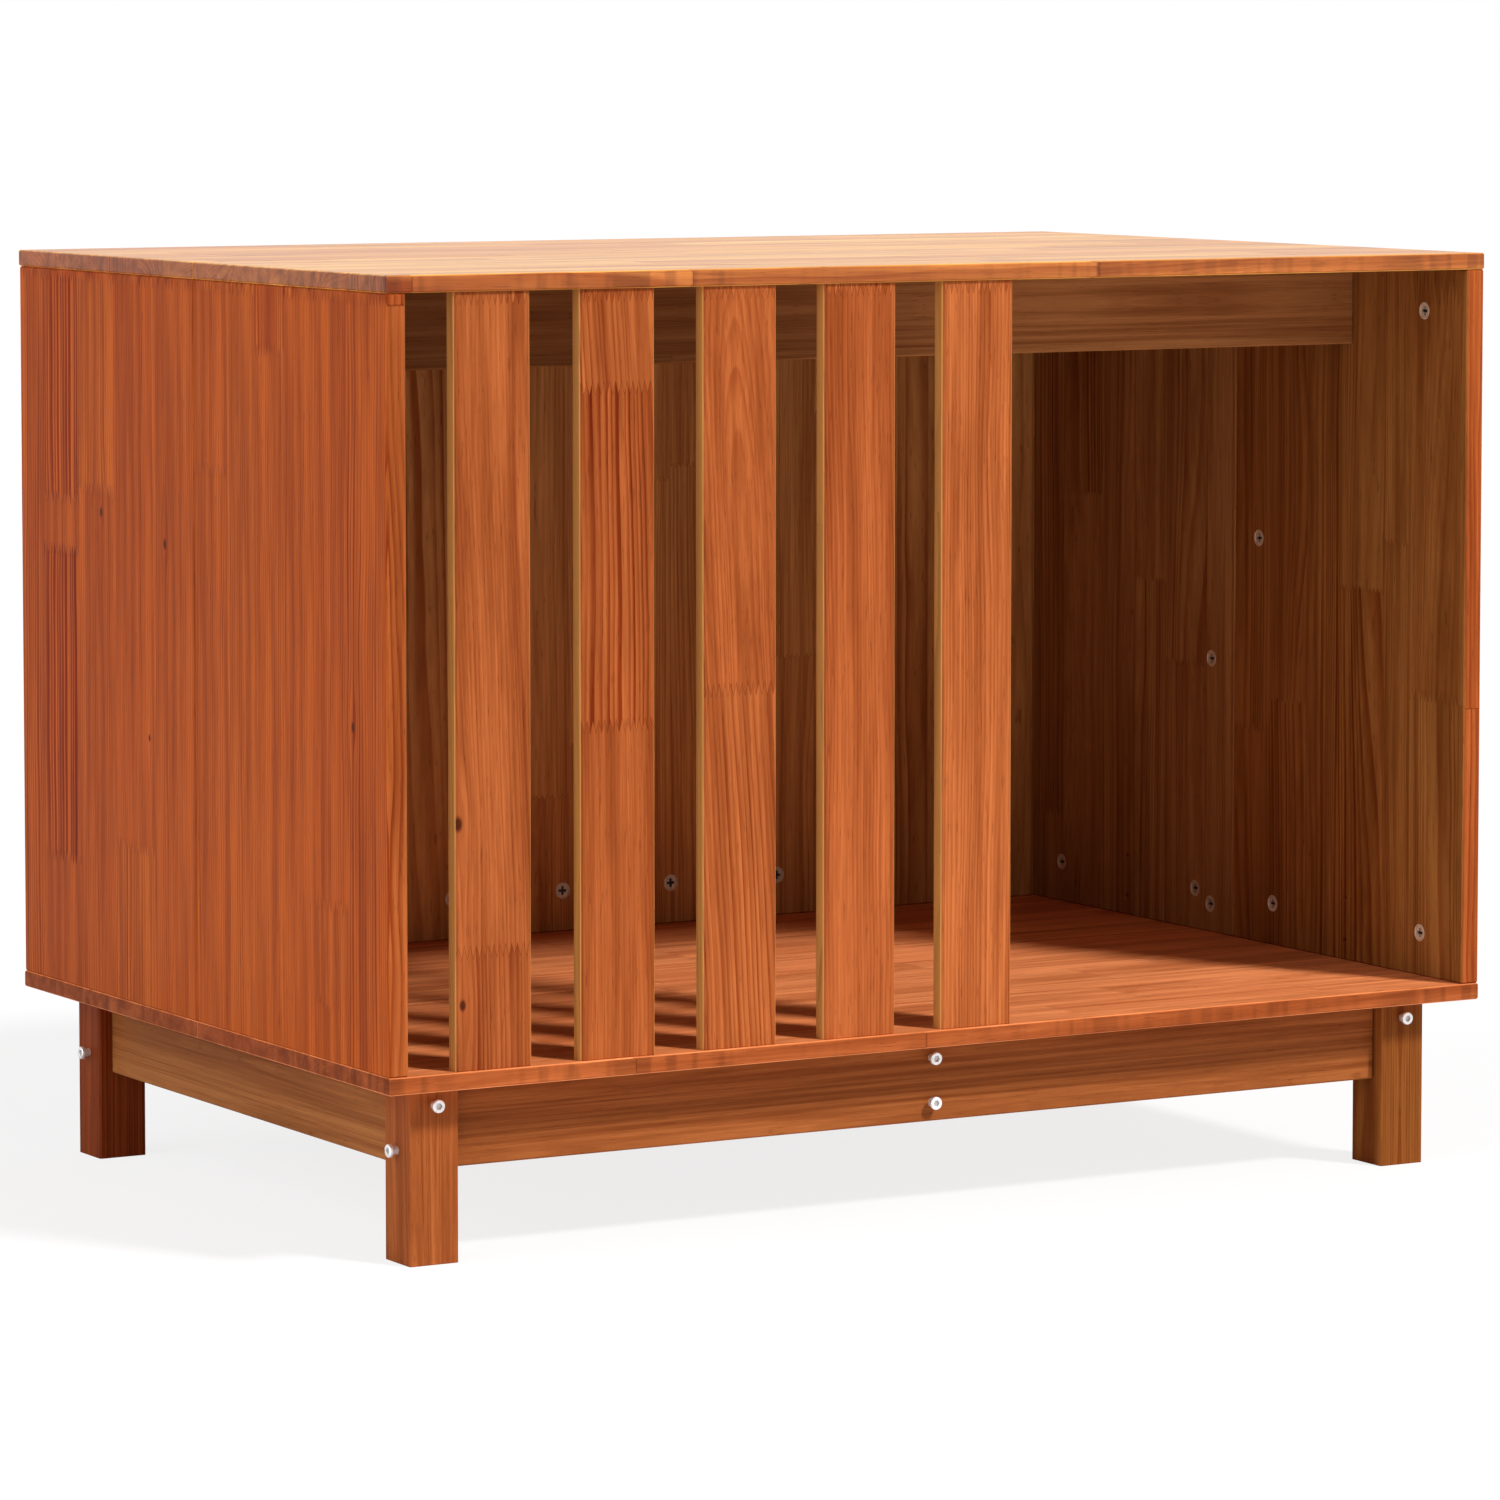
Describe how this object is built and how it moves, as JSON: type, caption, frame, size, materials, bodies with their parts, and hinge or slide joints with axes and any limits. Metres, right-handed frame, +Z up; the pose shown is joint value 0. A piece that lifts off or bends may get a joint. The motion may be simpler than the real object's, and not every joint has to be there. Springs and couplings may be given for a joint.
{
  "type": "dog house",
  "caption": "Indoor dog house: stained pine cabin with a flat roof, barred left front beside an open doorway, cam-lock joints, on a bolted frame with short legs.",
  "frame": {"origin": "on the ground, under the middle of the roof's outline", "axes": "+X along the front, from the barred end to the doorway; +Y from the front to the back; +Z up"},
  "size_m": [0.9, 0.6, 0.673],
  "materials": {
    "pine_flat_boards": "brown wax stain over edge-glued, finger-jointed pine, satin, grain along X",
    "pine_walls": "brown wax stain over edge-glued, finger-jointed pine, satin, grain upright",
    "pine_back": "brown wax stain over edge-glued, finger-jointed pine, satin, grain upright",
    "pine_slats": "brown wax stain over edge-glued, finger-jointed pine, satin, grain upright",
    "pine_rails": "brown wax stain over edge-glued, finger-jointed pine, satin, grain along X",
    "pine_legs": "brown wax stain over edge-glued, finger-jointed pine, satin, grain upright",
    "pine_aprons": "brown wax stain over edge-glued, finger-jointed pine, satin, grain along each piece",
    "zinc_cams": "dull die-cast zinc with a cross recess",
    "zinc_cam_bolts": "zinc-plated steel",
    "beech_dowels": "bare beech",
    "bright_bolts": "bright zinc-plated steel",
    "bright_nuts": "bright zinc-plated steel"
  },
  "bodies": {
    "root": {"floor_board_front": "pine_flat_boards", "floor_board_rear": "pine_flat_boards", "roof_board_front": "pine_flat_boards", "roof_board_rear": "pine_flat_boards", "left_wall_front": "pine_walls", "left_wall_rear": "pine_walls", "right_wall_front": "pine_walls", "right_wall_rear": "pine_walls", "back_board_left": "pine_back", "back_board_middle": "pine_back", "back_board_right": "pine_back", "front_slat_1": "pine_slats", "front_slat_2": "pine_slats", "front_slat_3": "pine_slats", "front_slat_4": "pine_slats", "front_slat_5": "pine_slats", "front_rail": "pine_rails", "rear_rail": "pine_rails", "leg_front_left": "pine_legs", "leg_front_right": "pine_legs", "leg_back_left": "pine_legs", "leg_back_right": "pine_legs", "front_apron": "pine_aprons", "back_apron": "pine_aprons", "left_apron": "pine_aprons", "right_apron": "pine_aprons", "centre_stretcher": "pine_aprons", "wall_cams": "zinc_cams", "back_cams": "zinc_cams", "wall_cam_bolts": "zinc_cam_bolts", "seam_cam_bolts": "zinc_cam_bolts", "back_cam_bolts": "zinc_cam_bolts", "slat_dowels": "beech_dowels", "frame_dowels": "beech_dowels", "back_dowels": "beech_dowels", "rail_dowels": "beech_dowels", "leg_bolts": "bright_bolts", "stretcher_bolts": "bright_bolts", "leg_barrel_nuts": "bright_nuts", "stretcher_barrel_nuts": "bright_nuts"}
  },
  "joints": []
}
